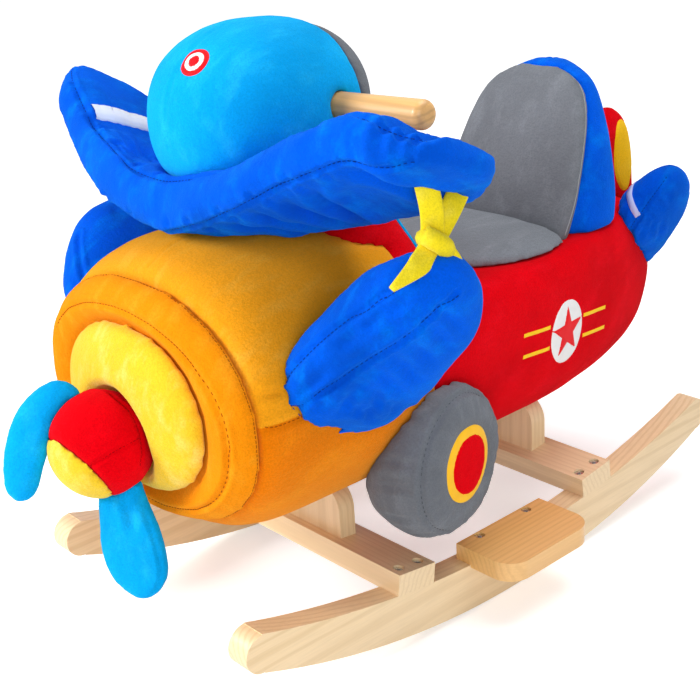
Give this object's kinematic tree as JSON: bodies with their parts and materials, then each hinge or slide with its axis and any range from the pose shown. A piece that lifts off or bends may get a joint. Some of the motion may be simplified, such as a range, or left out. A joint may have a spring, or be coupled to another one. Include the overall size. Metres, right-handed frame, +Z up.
{
  "type": "ride-on rocking airplane toy",
  "caption": "Stuffed biplane rocker for a small child, with a padded seat and backrest, a dowel handle, footrests and a soft turning propeller, on bolted curved wooden rockers.",
  "frame": {"origin": "point on the floor under the middle of the rockers, on the toy's middle plane", "axes": "-Y towards the nose, +X to the rider's left, +Z up"},
  "size_m": [0.4708, 0.7559, 0.5265],
  "materials": {
    "pine": "clear satin varnish",
    "pine_warm": "clear satin varnish",
    "bright_steel": "zinc plated",
    "brass": "plain",
    "white_plastic": "matte",
    "orange_plush": "short pile",
    "yellow_plush": "short pile",
    "red_plush": "short pile",
    "sky_blue_plush": "short pile",
    "royal_blue_plush": "short pile",
    "grey_plush": "short pile",
    "white_satin": "satin"
  },
  "bodies": {
    "toy": {"rocker_left": "pine", "rocker_right": "pine", "front_crossbar": "pine", "rear_crossbar": "pine", "front_upright": "pine", "rear_upright": "pine", "footrest_left": "pine_warm", "footrest_right": "pine_warm", "crossbar_bolts": "bright_steel", "footrest_bolts": "bright_steel", "threaded_inserts": "brass", "upright_screws": "bright_steel", "seat_board": "pine", "console_post": "pine", "post_cleat": "pine", "backrest_board": "pine", "backrest_cleat": "pine", "frame_screws": "bright_steel", "handle_bar": "pine", "handle_screw": "bright_steel", "nose_section": "orange_plush", "nose_ring": "orange_plush", "nose_dome": "yellow_plush", "swivel_bush": "white_plastic", "tail_section": "red_plush", "cockpit_front": "red_plush", "console": "sky_blue_plush", "console_panel": "grey_plush", "console_badge": "red_plush", "upper_wing": "royal_blue_plush", "upper_wing_stripes": "white_satin", "lower_wing_left": "royal_blue_plush", "lower_wing_right": "royal_blue_plush", "wing_tie_left": "yellow_plush", "wing_tie_right": "yellow_plush", "seat_pad": "grey_plush", "backrest_shell": "royal_blue_plush", "backrest_pad": "grey_plush", "tail_fin": "red_plush", "fin_panels": "orange_plush", "tailplane_left": "royal_blue_plush", "tailplane_right": "royal_blue_plush", "wheel_left": "grey_plush", "wheel_right": "grey_plush", "wheel_hub_rings": "yellow_plush", "wheel_hub_discs": "red_plush", "roundel_patches": "white_satin", "roundel_stars": "red_plush", "roundel_stripes": "yellow_plush"},
    "propeller": {"swivel_stem": "white_plastic", "swivel_washer": "white_plastic", "propeller_hub": "red_plush", "spinner_cap": "yellow_plush", "propeller_blade_upper": "sky_blue_plush", "propeller_blade_lower": "sky_blue_plush"}
  },
  "joints": [
    {"name": "propeller_spin", "type": "hinge", "parent": "toy", "child": "propeller", "pos_m": [0, -0.325, 0.221], "axis": [0, -0.9781, -0.2079], "continuous": true}
  ]
}
